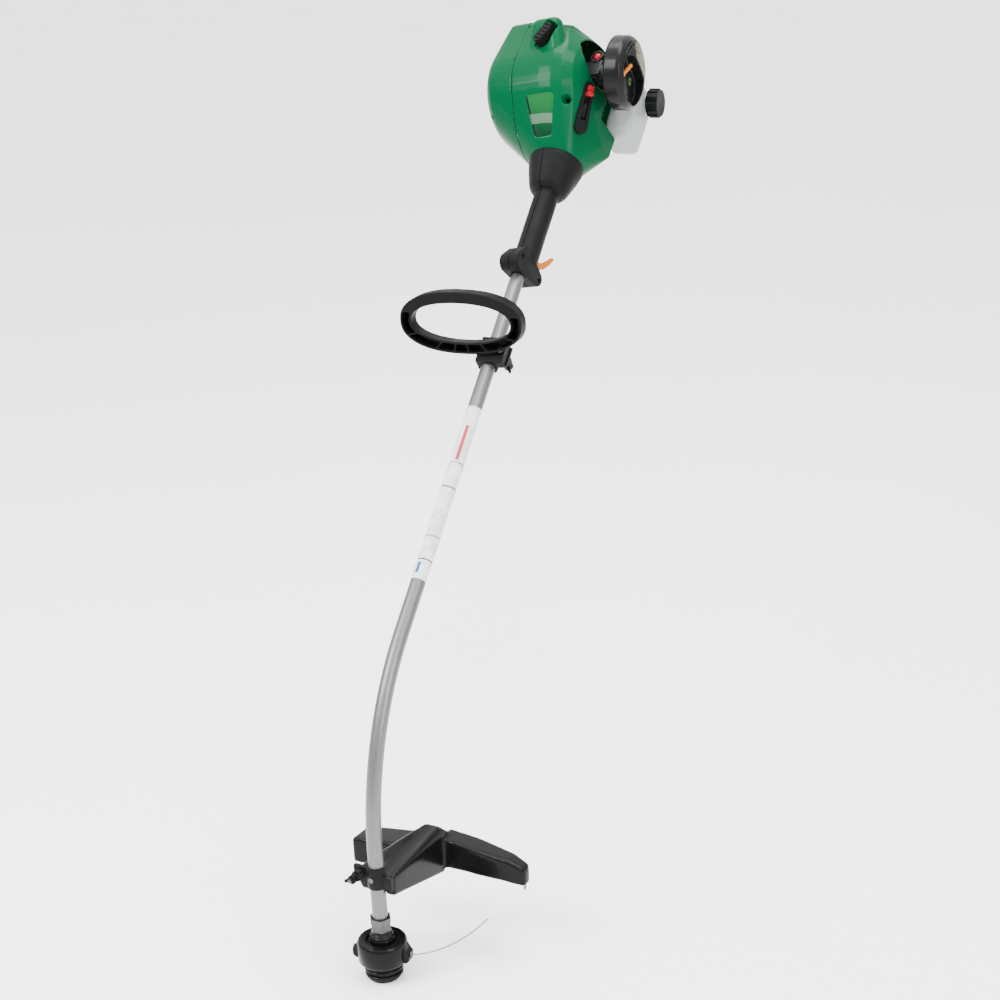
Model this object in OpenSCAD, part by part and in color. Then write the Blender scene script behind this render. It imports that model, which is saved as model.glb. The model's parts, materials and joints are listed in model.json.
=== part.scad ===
// Curved-shaft petrol string trimmer, all dimensions in millimetres.
// Origin: centre of the bump knob's flat lower face. +Z runs up the axis of the cutting head,
// +Y points from the head towards the engine and the operator, +X to the operator's left.

/* [Shaft tube] */
// Outside diameter of the shaft tube
tube_od = 22.2; // [22:0.1:22.4]
// Wall thickness of the shaft tube
tube_wall = 1.2; // [1:0.1:1.5]
// Height of the tube's lower end above the knob face
tube_bottom = 90; // [89:0.5:91]
// Height at which the straight lower end starts to curve
bend_start = 205; // [200:1:210]
// Centreline radius of the curve
bend_radius = 357; // [340:1:370]
// Angle through which the tube is bent
bend_angle = 50; // [48:1:52]
// Length of the straight upper run
upper_run = 838; // [836:1:840]

/* [Cutting head] */
// Diameter of the head housing
head_d = 72; // [71:0.5:74]
// Diameter of the bump knob
knob_d = 55; // [52:0.5:56]
// Distance that the bump knob travels
tap_travel = 5; // [4:0.5:5]
// Diameter of the cutting line
line_d = 2; // [1.6:0.1:2.4]

/* [Shield] */
// Turn of the shield about the tube, seen from above
shield_turn = -8; // [-12:1:-4]
// Reach of the shield behind the tube
shield_reach = 171; // [168:1:174]
// Reach of the long wing sideways
wing_reach = 157; // [152:1:160]
// Wall thickness of the shield
shield_wall = 3; // [2.5:0.1:3.5]

/* [Handles] */
// Distance of the loop handle's clamp past the end of the curve
loop_station = 491; // [480:1:500]
// Outer width of the loop
loop_w = 200; // [195:1:205]
// Outer height of the loop
loop_h = 96; // [92:1:100]
// Diameter of the rear grip
grip_d = 39; // [37:0.5:40]

/* [Engine] */
// Distance of the engine joint past the end of the curve
engine_station = 849; // [848:0.5:850]
// Turn of the engine and rear grip about the tube
engine_turn = -12; // [-16:1:-8]
// Radius of the round engine cover
cover_r = 92; // [91:0.5:93]
// Piston diameter
bore_d = 35; // [34:0.5:36]
// Piston stroke
stroke = 26; // [24:1:27]
// Thickness of the moulded covers
cover_wall = 3; // [2.6:0.1:3.4]

/* [Hidden] */

$fn = 64;
eps = 0.01;
tube_r = tube_od / 2;
tube_ir = tube_r - tube_wall;
bend_end_y = bend_radius * (1 - cos(bend_angle));
bend_end_z = bend_start + bend_radius * sin(bend_angle);

// liner and drive cable inside the tube
liner_od = 11;
liner_id = 7;
cable_d = 5;

// cutting head heights
knob_top = 26.5;
housing_bottom = 27;
housing_top = 61;
hub_bottom = 76;
hub_top = 96;
line_z = 40;
head_r = head_d / 2;
boss_turn = 5;
eyelet_r = 43;

// route of the free cutting line, from the eyelet to its cut end
LINE = [[43.5, 3.8, 40], [50, 6, 40], [57, 10.5, 40], [63.5, 15.5, 40], [69.5, 21, 40], [75, 27.5, 40],
    [80, 34.5, 40], [84.5, 42, 40], [88.5, 50, 40], [92, 58, 40], [95, 66.5, 40], [98, 75, 40],
    [100.5, 83.5, 40], [102.5, 92, 40], [104.5, 101, 40], [106, 110, 40], [107.5, 119, 40], [108.5, 128, 40]];

// shield
clamp_z = 161;
clamp_h = 32;
skirt_z = 101;
wing_z = 113;
roof_z = 152;
hump_z = 180;

// loop handle
loop_tilt = 40;
loop_lift = 20;
loop_shift = -40;
loop_band = 18;
loop_depth = 22;

// rear handle, measured from the curve's end along the tube
grip_low = 625;
grip_start = 680;
flare_start = 795;
grip_off = 5.5;
trigger_q = 667;
trigger_y = 17;

// engine, measured from the joint with the handle
joint_r = 44.3;
joint_off = 5;
cover_y = -24;
cover_z = 128;
seam_x = -50;
cyl_z = 104;
carb_z = 134;
rod_len = 42;
crank_r = stroke / 2;
pulley_z = 164;
pulley_r = 28;
air_pos = [91, -61, 135];
air_r = 58.5;
cap_pos = [100, 50, 169];
label_slope = 38.8;
cover_screw_angles = [148, 240, 323];
rear_z = 196;

black = [0.10, 0.11, 0.11];
green = [0.02, 0.52, 0.32];
silver = [0.66, 0.67, 0.68];
steel = [0.55, 0.56, 0.58];
zinc = [0.60, 0.62, 0.62];
alloy = [0.72, 0.73, 0.74];
orange = [0.95, 0.60, 0.10];
red = [0.65, 0.08, 0.10];
tank_white = [0.88, 0.89, 0.88];
nylon = [0.85, 0.92, 0.96];
brass = [0.78, 0.62, 0.30];

// ---------- frames ----------

// upright frame at a distance past the end of the curve, its z axis along the tube to the engine
module upper(q) {
    translate([0, bend_end_y + q * sin(bend_angle), bend_end_z + q * cos(bend_angle)])
        rotate([-bend_angle, 0, 0]) children();
}

// frame of the rear handle, turned about the tube with the engine
module grip_frame() {
    upper(0) rotate([0, 0, engine_turn]) children();
}

// frame of the engine, its origin at the joint with the handle
module engine() {
    upper(engine_station) rotate([0, 0, engine_turn]) children();
}

// engine frame without the turn, for the air cleaner and the tank
module level_engine() {
    upper(engine_station) children();
}

module shield_frame() {
    rotate([0, 0, shield_turn]) children();
}

module loop_frame() {
    upper(loop_station) children();
}

// ---------- shared shapes ----------

module ring(r_out, r_in, h) {
    difference() {
        cylinder(r = r_out, h = h);
        translate([0, 0, -1]) cylinder(r = r_in, h = h + 2);
    }
}

module along_x(r, x0, x1) {
    translate([x0, 0, 0]) rotate([0, 90, 0]) cylinder(r = r, h = x1 - x0);
}

module along_y(r, y0, y1) {
    translate([0, y1, 0]) rotate([90, 0, 0]) cylinder(r = r, h = y1 - y0);
}

module box(low, high) {
    translate(low) cube(high - low);
}

// solid that follows the shaft: straight, curved and straight, from z0 to a distance q1
module shaft_path(r_out, r_in, z0, q1) {
    translate([0, 0, z0]) ring_or_rod(r_out, r_in, bend_start - z0);
    translate([0, bend_radius, bend_start]) rotate([90, 0, -90]) mirror([0, 0, 1]) curve(r_out, r_in);
    upper(-0.1) ring_or_rod(r_out + 0.03, max(0, r_in - 0.03), q1 + 0.1);
}

module ring_or_rod(r_out, r_in, h) {
    difference() {
        cylinder(r = r_out, h = h);
        if (r_in > 0) translate([0, 0, -1]) cylinder(r = r_in, h = h + 2);
    }
}

module curve(r_out, r_in) {
    rotate_extrude(angle = bend_angle, $fn = 160) translate([bend_radius, 0]) difference() {
        circle(r = r_out);
        if (r_in > 0) circle(r = r_in);
    }
}

// unit vectors and a tube swept along a list of points
function unit(v) = v / norm(v);
function tangent(p, i) = unit(p[min(i + 1, len(p) - 1)] - p[max(i - 1, 0)]);
function side_of(t, ref) = unit(cross(ref, t));
function sweep_ring(p, i, r, sides, ref) =
    let (t = tangent(p, i), n = side_of(t, ref), b = cross(t, n))
    [for (k = [0:sides - 1]) p[i] + r * (cos(360 * k / sides) * n + sin(360 * k / sides) * b)];

module sweep(p, r, sides, ref) {
    rings = len(p);
    points = [for (i = [0:rings - 1]) each sweep_ring(p, i, r, sides, ref)];
    walls = [for (i = [0:rings - 2], k = [0:sides - 1])
        [i * sides + k, (i + 1) * sides + k, (i + 1) * sides + (k + 1) % sides, i * sides + (k + 1) % sides]];
    ends = [[for (k = [0:sides - 1]) k], [for (k = [sides - 1:-1:0]) (rings - 1) * sides + k]];
    polyhedron(points = points, faces = concat(walls, ends));
}

function helix(r, z0, z1, turns, steps) =
    [for (i = [0:turns * steps]) [r * cos(360 * i / steps), r * sin(360 * i / steps),
        z0 + (z1 - z0) * i / (turns * steps)]];

// hexagon-headed or round-headed screw, shank down the -z side of its head
module screw(r, len, head_r, head_h, sides = 64) {
    translate([0, 0, -len]) cylinder(r = r, h = len + eps);
    cylinder(r = head_r, h = head_h, $fn = sides);
}

// nut with two wings, its bore on the z axis
module wing_nut(bore_r, body_r, body_h, span, wing_h) {
    difference() {
        union() {
            cylinder(r = body_r, h = body_h);
            for (s = [-1, 1]) translate([s * (span / 2 - 5), 0, 1]) {
                translate([0, 0, 1]) intersection() {
                    along_y(wing_h / 2, -2, 2);
                    box([-wing_h, -3, 0], [wing_h, 3, wing_h]);
                }
                box([s > 0 ? 4 - span / 2 : -1, -2, 0.5], [s > 0 ? 1 : span / 2 - 4, 2, 4]);
            }
        }
        translate([0, 0, -1]) cylinder(r = bore_r, h = body_h + wing_h + 2);
    }
}

// ---------- shaft ----------

module shaft_tube() {
    color(silver) shaft_path(tube_r, tube_ir, tube_bottom, upper_run);
}

module shaft_liner() {
    color(black) shaft_path(liner_od / 2, liner_id / 2, 116, upper_run - 6);
}

module flex_shaft() {
    color(steel) union() {
        shaft_path(cable_d / 2, 0, 113, upper_run + 2.5);
        translate([-1.4, -1.4, 103]) cube([2.8, 2.8, 11]);
        upper(upper_run + 2) translate([-1.4, -1.4, 0]) cube([2.8, 2.8, 12]);
    }
}

module tube_bushing() {
    color(brass) translate([0, 0, tube_bottom + 1]) ring(tube_ir, 5.05, 22);
}

module decals() {
    color([0.92, 0.92, 0.93]) {
        upper(85) ring(tube_r + 0.25, tube_r + 0.04, 294);
        engine() intersection() {
            label_prism(-0.3);
            cover_form(0.6);
            difference() {
                label_prism(1);
                cover_form(1.2);
            }
        }
    }
}

// prism square to the sloping face of the nose, the outline of its label
module label_prism(grow) {
    translate([0, -52.6, 17]) rotate([90 + label_slope, 0, 0]) translate([0, 0, -12])
        linear_extrude(24) offset(delta = grow) offset(r = 6) offset(delta = -6)
            polygon([[-15, -5], [15, -5], [25, 63], [-26, 63]]);
}

// ---------- cutting head ----------

module arbor_hub() {
    color(zinc) difference() {
        union() {
            translate([0, 0, hub_bottom]) cylinder(r = 15.4, h = 13, $fn = 6);
            translate([0, 0, 89]) cylinder(r = 16.4, h = hub_top - 89, $fn = 6);
            translate([0, 0, 14]) cylinder(r = 7.9, h = hub_bottom - 14 + eps);
            translate([0, 0, 87]) cylinder(r = 5, h = 25);
        }
        translate([0, 0, 88.5]) ring(12.6, 5, 12);
        translate([-2.1, -2.1, 101]) cube([4.2, 4.2, 12]);
    }
}

module head_housing() {
    shell = [[18, 61], [18, 57], [22, 57], [24, 61], [33.6, 61], [head_r, 57.5], [head_r, 31], [head_r - 1.2, 28.5],
        [head_r - 3, housing_bottom], [head_r - 4.5, housing_bottom], [head_r - 4.5, 54.5], [7.95, 54.5],
        [7.95, hub_bottom], [13.4, hub_bottom], [14, 75], [14, 72], [15.6, 71], [15.6, 68], [17.2, 67], [17.2, 64],
        [18, 63]];
    color(black) difference() {
        union() {
            rotate_extrude() polygon(shell);
            for (a = [boss_turn, boss_turn + 180]) rotate([0, 0, a]) eyelet_boss();
        }
        for (a = [boss_turn, boss_turn + 180]) rotate([0, 0, a]) translate([0, 0, line_z])
            along_x(4.3, head_r - 6, eyelet_r + 4);
        translate([0, 0, 26]) cylinder(r = head_r - 4.5, h = 28.5);
    }
}

// block around a line outlet, sloping back into the drum above it
module eyelet_boss() {
    rotate([90, 0, 0]) translate([0, 0, -9]) linear_extrude(18)
        polygon([[30, 29], [39, 30], [eyelet_r, 34], [eyelet_r, 43], [39, 49], [head_r - 1, 56], [30, 56]]);
}

module line_eyelets() {
    color(alloy) for (a = [boss_turn, boss_turn + 180]) rotate([0, 0, a]) translate([0, 0, line_z])
        rotate([0, 90, 0]) difference() {
            union() {
                translate([0, 0, head_r - 4]) cylinder(r = 4.3, h = eyelet_r - head_r + 4);
                translate([0, 0, eyelet_r]) cylinder(r = 5.4, h = 1.5);
            }
            translate([0, 0, head_r - 6]) cylinder(r = 2.3, h = 16);
        }
}

module spool_spring() {
    color(steel) sweep(helix(10.6, 41, 53.6, 5, 12), 0.8, 6, [0, 0, 1]);
}

module cutting_line() {
    color(nylon) sweep(LINE, line_d / 2, 8, [0, 0, 1]);
}

module line_spool() {
    profile = [[8.05, 27], [30.5, 27], [30.5, 29.5], [17, 30.5], [17, 45.5], [30.5, 46.5], [30.5, 49],
        [13, 49], [13, 40], [8.05, 40]];
    color([0.16, 0.17, 0.17]) rotate_extrude() polygon(profile);
}

module bump_knob() {
    k = knob_d / 2;
    profile = [[0, 0], [21.5, 0], [23.2, 1.2], [24, 4.5], [k - 0.8, 6], [k, 7], [k, 10], [k - 1, 11.2],
        [k - 3.2, 11.8], [k - 3.2, 13.4], [k - 0.4, 14.4], [k + 0.6, 15.6], [k + 0.6, 18.4], [k - 0.6, 19.6],
        [k - 1.6, 20.4], [k - 1.6, 22], [k + 2, 23], [k + 2, knob_top], [8.05, knob_top], [8.05, 8], [0, 8]];
    color(black) rotate_extrude() polygon(profile);
}

// ---------- shield ----------

module debris_shield() {
    w = shield_wall;
    color(black) shield_frame() difference() {
        union() {
            tongue(0);
            right_wing(0);
            left_wing(0);
        }
        tongue(w);
        right_wing(w);
        left_wing(w);
        translate([1, -6, 194]) rotate([-84, 0, -2]) cylinder(r1 = 37, r2 = 31, h = 150);
        translate([0, 0, 100]) cylinder(r = tube_r + 0.05, h = 100);
        translate([-26, 0, clamp_z]) along_y(3, -20, 60);
        translate([-70, -40, 100]) cube([140, 41, 100]);
    }
}

// scooped body of the shield behind the tube, inset by w and open below
module tongue(w) {
    open = w > 0 ? 40 : 0;
    top = w > 0 ? w + 9 : 0;
    hull() {
        box([-36 + w, w > 0 ? 26 : 0, 147 - open], [27 - w, 30, 164 - top]);
        box([-30 + w, w > 0 ? 26 : 0, 134 - open], [27 - w, 30, 150 - top]);
        box([-12 + w, 112, 110 - open], [25 - w, 136, 165 - top]);
        box([-4 + w, 116, 110 - open], [19 - w, 134, hump_z - top]);
        box([-14 + w, 150, skirt_z - open], [25 - w, 158 - w, 158 - top]);
    }
}

// long wing, inset by w and open below
module right_wing(w) {
    open = w > 0 ? 30 : 0;
    hull() {
        box([16, 132 + w, wing_z - open], [22, shield_reach - 4 - w, roof_z + 8 - w]);
        box([62, 138 + w, wing_z - open], [70, shield_reach - w, roof_z + 1 - w]);
        box([120, 139 + w, wing_z - 1.5 - open], [128, shield_reach - 6 - w, roof_z - 5 - w]);
        box([wing_reach - 9, 138 + w, wing_z - 2.5 - open], [wing_reach - 3 - w, shield_reach - 11 - w, roof_z - 13 - w]);
        box([wing_reach - 5, 140 + w, wing_z - 3 - open], [wing_reach - w, shield_reach - 18 - w, roof_z - 21 - w]);
    }
}

// short wing, inset by w
module left_wing(w) {
    open = w > 0 ? 30 : 0;
    hull() {
        box([-20, 100 + w, 108 - open], [-8, 150 - w, 156 - w]);
        box([-110 + w, 92 + w, 110 - open], [-104, 138 - w, 150 - w]);
    }
}

module shield_clamp() {
    color([0.17, 0.18, 0.18]) shield_frame() difference() {
        union() {
            translate([0, 0, clamp_z - clamp_h / 2]) cylinder(r = tube_r + 3, h = clamp_h);
            box([-36, -5, clamp_z - 12], [-10, 0.9, clamp_z + 12]);
            translate([-26, 0, clamp_z]) along_y(8, -14.8, -4);
            box([8, -5, clamp_z - clamp_h / 2], [27, 0.9, clamp_z + 3]);
        }
        translate([0, 0, 100]) cylinder(r = tube_r + 0.05, h = 100);
        translate([-30, 1, 100]) cube([70, 40, 100]);
        translate([-26, 0, clamp_z]) along_y(3, -20, 20);
        translate([0, 0, clamp_z]) along_y(2.1, -20, 0);
    }
}

module shield_screws() {
    color(alloy) shield_frame() {
        translate([-26, 0, clamp_z]) along_y(2.9, -31, 25.5);
        translate([0, 0, clamp_z]) along_y(2.05, -14.2, -tube_r - 0.1);
        translate([0, 0, clamp_z]) along_y(4, -16.2, -14.1);
    }
}

module shield_wing_nut() {
    color(black) shield_frame() translate([-26, -15.2, clamp_z]) rotate([90, 0, 0]) rotate([0, 0, 28])
        wing_nut(2.97, 6.5, 11, 36, 13);
}

// steel blade that trims the line to length
module line_limiter() {
    color(steel) shield_frame() difference() {
        box([wing_reach - shield_wall - 1.5, 143.2, 103], [wing_reach - shield_wall, 149.8, 125]);
        translate([0, 146.5, 118]) along_x(1.5, wing_reach - 8, wing_reach + 2);
    }
}

// ---------- loop handle ----------

// outline of the loop, a rounded oval made of four arcs
function oval(w, h, n, count) = [for (i = [0:count - 1]) let (a = 360 * i / count)
    [w / 2 * sign(cos(a)) * pow(abs(cos(a)), 2 / n), h / 2 * sign(sin(a)) * pow(abs(sin(a)), 2 / n)]];

// frame of the loop: x across the tube, y up the loop, z square to it towards the engine
module loop_plane() {
    loop_frame() translate([0, -loop_lift, -14]) rotate([180 - loop_tilt, 0, 0]) children();
}

module loop_handle() {
    mid = loop_h / 2 - loop_band / 2;
    color(black) difference() {
        union() {
            loop_plane() translate([loop_shift, mid, -loop_depth / 2]) difference() {
                linear_extrude(loop_depth) difference() {
                    polygon(oval(loop_w, loop_h, 2.3, 72));
                    polygon(oval(loop_w - 2 * loop_band, loop_h - 2 * loop_band, 2.2, 72));
                }
                translate([0, 0, loop_depth - 20]) channel();
            }
            loop_frame() box([-17, -17, -36], [26, -0.2, 9]);
        }
        loop_frame() translate([0, 0, -60]) cylinder(r = tube_r + 0.05, h = 140);
        loop_frame() translate([19, 0, -14]) along_y(3.1, -30, 30);
        loop_frame() translate([19, 0, -14]) along_y(6.6, -30, -13);
    }
}

// groove that lightens the lower face of the loop, with ribs left across it
module channel() {
    difference() {
        linear_extrude(30) difference() {
            polygon(oval(loop_w - 7, loop_h - 7, 2.3, 72));
            polygon(oval(loop_w - 2 * loop_band + 7, loop_h - 2 * loop_band + 7, 2.2, 72));
        }
        for (a = [0:30:330]) rotate([0, 0, a + 15]) translate([0, -1.2, -1]) cube([150, 2.4, 40]);
        translate([-150, 12, -1]) cube([300, 80, 40]);
    }
}

module loop_clamp() {
    color(black) loop_frame() difference() {
        union() {
            translate([0, 0, -36]) cylinder(r = tube_r + 4, h = 45);
            box([8, 0.4, -30], [28, 5, 3]);
            box([-17, 0.4, -36], [-8, 5, 9]);
            translate([19, 0, -14]) along_y(9, 0.4, 15.6);
        }
        translate([0, 0, -60]) cylinder(r = tube_r + 0.05, h = 140);
        translate([-40, -40.2, -60]) cube([80, 40.6, 140]);
        translate([19, 0, -14]) along_y(3.1, -30, 30);
    }
}

module loop_bolt() {
    color(alloy) loop_frame() translate([19, 0, -14]) {
        along_y(3, -14, 33);
        along_y(5.6, -17, -13);
    }
}

module loop_wing_nut() {
    color(black) loop_frame() translate([19, 16, -14]) rotate([-90, 0, 0]) rotate([0, 0, 60])
        wing_nut(3.07, 7.5, 12, 34, 13);
}

// ---------- rear handle ----------

// outer form of the handle, both halves together, inset by w
module handle_form(w) {
    hull() for (p = [[-22, 22, 15], [-12, 40, 14], [8, 32, 14], [28, 26, 13]])
        translate([0, p[0], grip_low - 10 + p[1]]) rotate([0, 90, 0])
            translate([0, 0, -16.5 + w]) cylinder(r = p[2] - w, h = 33 - 2 * w, $fn = 32);
    translate([0, grip_off, grip_start - 26 - w]) cylinder(r = grip_d / 2 - w, h = flare_start + 6 - grip_start + 26 + w);
    translate([0, grip_off, 0]) rotate_extrude() polygon([[0, flare_start - 6 - w], [24 - w, flare_start - 6 - w],
        [30 - w, flare_start], [33 - w, flare_start + 7], [40 - w, flare_start + 30],
        [joint_r - w, engine_station - 6], [joint_r - w, engine_station], [0, engine_station]]);
}

// one half of the handle; s is +1 for the +x half and -1 for the other
module handle_half(s) {
    grip_frame() difference() {
        handle_form(0);
        translate([0, 0, 600]) cylinder(r = tube_r + 0.05, h = 300);
        translate([0, 0, flare_start + 16]) cylinder(r1 = 26, r2 = 38, h = 50);
        translate([0, grip_off, engine_station - 4]) cylinder(r = joint_r - 3, h = 10);
        box([s > 0 ? -80 : 0, -80, 560], [s > 0 ? 0 : 80, 90, 900]);
        box([-3.4, 10, 655], [3.4, 70, 704]);
        box([-2, 10, 676], [2, 20, 812]);
        for (p = handle_screw_places()) translate([0, p[0], p[1]]) along_x(1.9, -60, 60);
        for (p = handle_screw_places()) translate([0, p[0], p[1]]) along_x(3.6, s > 0 ? p[2] : -80, s > 0 ? 80 : -p[2]);
        translate([0, trigger_y, trigger_q]) along_x(2.02, -9, 9);
    }
}

// y, distance along the tube and depth of each handle screw
function handle_screw_places() = [[-24, 646, 12], [32, 640, 12], [20, 712, 5.5], [20, 778, 5.5], [36, 838, 18]];

module handle_left() {
    color(black) handle_half(-1);
}

module handle_right() {
    color([0.13, 0.14, 0.14]) handle_half(1);
}

module handle_screws() {
    color(steel) grip_frame() for (p = handle_screw_places()) translate([0, p[0], p[1]]) {
        along_x(1.85, -p[2] - eps, p[2] + 0.5);
        along_x(3.4, -p[2] - 2, -p[2]);
    }
}

module throttle_trigger() {
    color(orange) grip_frame() translate([0, trigger_y, trigger_q]) difference() {
        union() {
            along_x(4.4, -3, 3);
            translate([-3, 0, 0]) rotate([90, 0, 90]) linear_extrude(6)
                polygon([[-2, -4.2], [10, -4], [22, 0], [34, 9], [45, 25], [52, 40], [49, 43], [40, 31],
                    [30, 19], [20, 11.5], [10, 9], [2, 12], [-1.5, 12], [-2, 4]]);
        }
        along_x(2.05, -8, 8);
    }
}

module trigger_pin() {
    color(steel) grip_frame() translate([0, trigger_y, trigger_q]) along_x(2, -8.8, 8.8);
}

module trigger_spring() {
    color(steel) grip_frame() translate([0, 21, 684])
        sweep(helix(2.3, 0, 13, 5, 10), 0.45, 6, [0, 0, 1]);
}

// throttle cable, from the trigger through the grip to the carburetor
CABLE = [[0, 15, 681], [0, 15, 688], [0, 15.5, 700], [0, 16, 720], [0, 16, 750], [0, 16, 780], [0, 16, 796],
    [0, 17, 808], [1, 20, 817], [4, 22.5, 826], [10, 24.5, 834], [17, 25.5, 842], [24, 24.5, 852],
    [31, 20, 864], [38, 13, 876], [43, 4, 890], [46, -6, 904], [47, -17, 917], [50, -25, 931],
    [53, -29.5, 947], [54.5, -30.5, 960], [56, -30.5, 967], [59, -30.5, 972]];

module throttle_cable() {
    color(black) grip_frame() sweep(CABLE, 1.2, 8, [1, 0.3, 0]);
}

// ---------- engine covers ----------

// round body of the covers about the x axis, inset by w
module cover_lathe(w) {
    profile = [[-112, 0], [-112, 62], [-109, 73], [-103, 82], [-94, 89], [-80, cover_r], [-50, cover_r + 1],
        [0, cover_r], [20, cover_r - 2], [36, cover_r - 8], [50, cover_r - 20], [58, cover_r - 34], [62, cover_r - 46],
        [62, 0]];
    translate([0, cover_y, cover_z]) rotate([0, -90, 0]) rotate_extrude($fn = 48)
        polygon([for (p = profile) [max(0, p[1] - w), -p[0] + (p[0] < -100 ? -w : p[0] > 55 ? w : 0)]]);
}

// whole outer form of the covers, inset by w
module cover_form(w) {
    hull() {
        translate([0, joint_off, 0]) cylinder(r = joint_r - w, h = 3, $fn = 48);
        cover_lathe(w);
        translate([-30, -80, 188]) rotate([0, 90, 0]) cylinder(r = 20 - w, h = 52, $fn = 32);
        translate([-84 + w, -91, 198]) rotate([0, 90, 0]) cylinder(r = 20 - w, h = 46 - w, $fn = 32);
        box([30, 20, 42], [64 - w, 48 - w, 79]);
    }
}

// space taken by the rear opening, the intake side and the tank
module cover_cuts() {
    translate([0, -42, 166]) along_x(48, 46, 90);
    box([51, -60, 150], [90, 60, 260]);
    box([37, -2, 79.5], [90, 90, 260]);
    box([44, -6, 186], [60, 0, 260]);
    translate([0, 0, -1]) cylinder(r = 26, h = 12);
}

module engine_shroud() {
    color(green) engine() difference() {
        union() {
            difference() {
                cover_form(0);
                cover_form(cover_wall);
                cover_cuts();
                box([-200, -200, -20], [seam_x, 200, 320]);
                box([-200, -200, rear_z], [200, 200, 320]);
            }
            translate([0, joint_off, 0]) ring(joint_r, joint_r - 10, 3);
            cover_bosses(seam_x, seam_x + 20);
            starter_hump();
            intersection() {
                cover_form(0.5);
                recess_frame() cylinder(r = 10, h = 30);
            }
        }
        cover_screw_bores(1.6, seam_x - 1, seam_x + 16);
        starter_channel();
        recess_frame() {
            translate([0, 0, 2]) cylinder(r1 = 4, r2 = 9, h = 13);
            translate([0, 0, -10]) cylinder(r = 3, h = 20);
            translate([0, 0, 14.9]) cylinder(r = 9, h = 30);
        }
        switch_frame() box([-8.6, -33, -8], [8.6, 33, 20]);
        switch_frame() switch_seat(0.1);
        difference() {
            label_prism(0);
            cover_form(1.3);
        }
    }
}

// frame at the bottom of the round recess beside the nose label, z out of it
module recess_frame() {
    translate([41, -71, 64]) rotate([125, -38, 0]) translate([0, 0, -11]) children();
}

module cover_bosses(x0, x1) {
    intersection() {
        cover_form(0.5);
        for (a = cover_screw_angles) translate([0, cover_y, cover_z]) rotate([a, 0, 0]) {
            translate([0, 83, 0]) along_x(7.5, x0, x1);
            box([x0, 83, -4], [x1, 130, 4]);
        }
    }
}

module cover_screw_bores(r, x0, x1) {
    for (a = cover_screw_angles) translate([0, cover_y, cover_z]) rotate([a, 0, 0])
        translate([0, 83, 0]) along_x(r, x0, x1);
}

// raised moulding around the starter grip
module starter_hump() {
    difference() {
        hull() {
            translate([-24, -100, 140]) sphere(r = 14, $fn = 24);
            translate([16, -100, 140]) sphere(r = 14, $fn = 24);
            translate([-18, -118, 182]) sphere(r = 14, $fn = 24);
            translate([8, -118, 182]) sphere(r = 14, $fn = 24);
        }
        cover_form(0.2);
        box([-100, -200, rear_z - 0.1], [100, 200, 300]);
    }
}

module starter_channel() {
    translate([0, -117, 160]) rotate([0, 28, 0]) box([-11, -40, -23], [11, 3, 23]);
    translate([-2, -90, 162]) along_y(4.2, -40, 40);
}

// frame on the right front face, y along the stop switch and z out of the face
module switch_frame() {
    translate([57.5, -43.5, 68]) rotate([111, 0, 21]) rotate([0, 45, 0]) children();
}

// outer form of the switch surround, grown for the seat it drops into
module switch_seat(grow) {
    hull() for (y = [-32, 32]) translate([0, y, -3 - grow]) cylinder(r = (y > 0 ? 9.5 : 11) + grow, h = 6 + grow * 3,
        $fn = 32);
}

module side_cover() {
    color(green) engine() difference() {
        union() {
            difference() {
                cover_form(0);
                cover_form(cover_wall);
                box([seam_x - 0.15, -200, -20], [200, 200, 320]);
            }
            cover_bosses(-95, seam_x - 0.15);
        }
        translate([0, joint_off, -1]) cylinder(r = joint_r + 1, h = 8);
        cover_screw_bores(2.1, -120, seam_x + 1);
        cover_screw_bores(3.9, -120, -72);
        for (i = [-3:3]) translate([-120, cover_y + 40, cover_z + i * 13 - 3]) cube([14, 30, 6]);
    }
}

module rear_cover() {
    color(green) engine() difference() {
        intersection() {
            cover_form(0.1);
            box([seam_x + 0.2, -200, rear_z + 0.2], [200, 200, 320]);
        }
        intersection() {
            cover_form(cover_wall);
            box([seam_x - 5, -200, rear_z - 5], [200, 200, 320]);
        }
        box([51, -60, 150], [90, 60, 260]);
        box([37, -2, 79.5], [90, 90, 260]);
        for (i = [-3:-1]) box([i * 11 - 12, -60, 200], [i * 11 - 7, -10, 260]);
    }
}

module cover_screws() {
    color(steel) engine() {
        cover_screw_bores(1.55, -72, seam_x + 14);
        cover_screw_bores(3.6, -75, -72);
    }
}

// ---------- engine core ----------

module crankcase() {
    color(alloy) engine() difference() {
        union() {
            translate([0, 0, -24]) cylinder(r = 19, h = 62);
            translate([0, 0, 34]) cylinder(r = 26, h = 4);
            translate([0, 0, 62]) cylinder(r = 20, h = 24);
            translate([0, 0, 84]) cylinder(r = 30, h = 42);
            box([-24, -34, 86], [24, 0, 122]);
            for (a = [45:90:315]) rotate([0, 0, a]) {
                box([15, -3, 34], [44, 3, 38]);
                box([40, -3, 34], [44, 3, 90]);
                box([25, -3, 86], [44, 3, 90]);
            }
            translate([0, 0, 126 - eps]) cylinder(r = 5, h = 52);
        }
        translate([0, 0, -31]) cylinder(r = tube_r + 0.05, h = 21);
        translate([0, 0, -11]) cylinder(r = 10, h = 80);
        translate([0, 0, 62 - eps]) cylinder(r = 14, h = 27);
        translate([0, 0, 88]) cylinder(r = 27, h = 34);
        translate([0, 0, cyl_z]) along_y(bore_d / 2 + 4.1, -60, 0);
    }
}

module crank_bearings() {
    color(steel) engine() for (z = [62.2, 77]) translate([0, 0, z]) ring(14, 6.02, 9);
}

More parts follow.
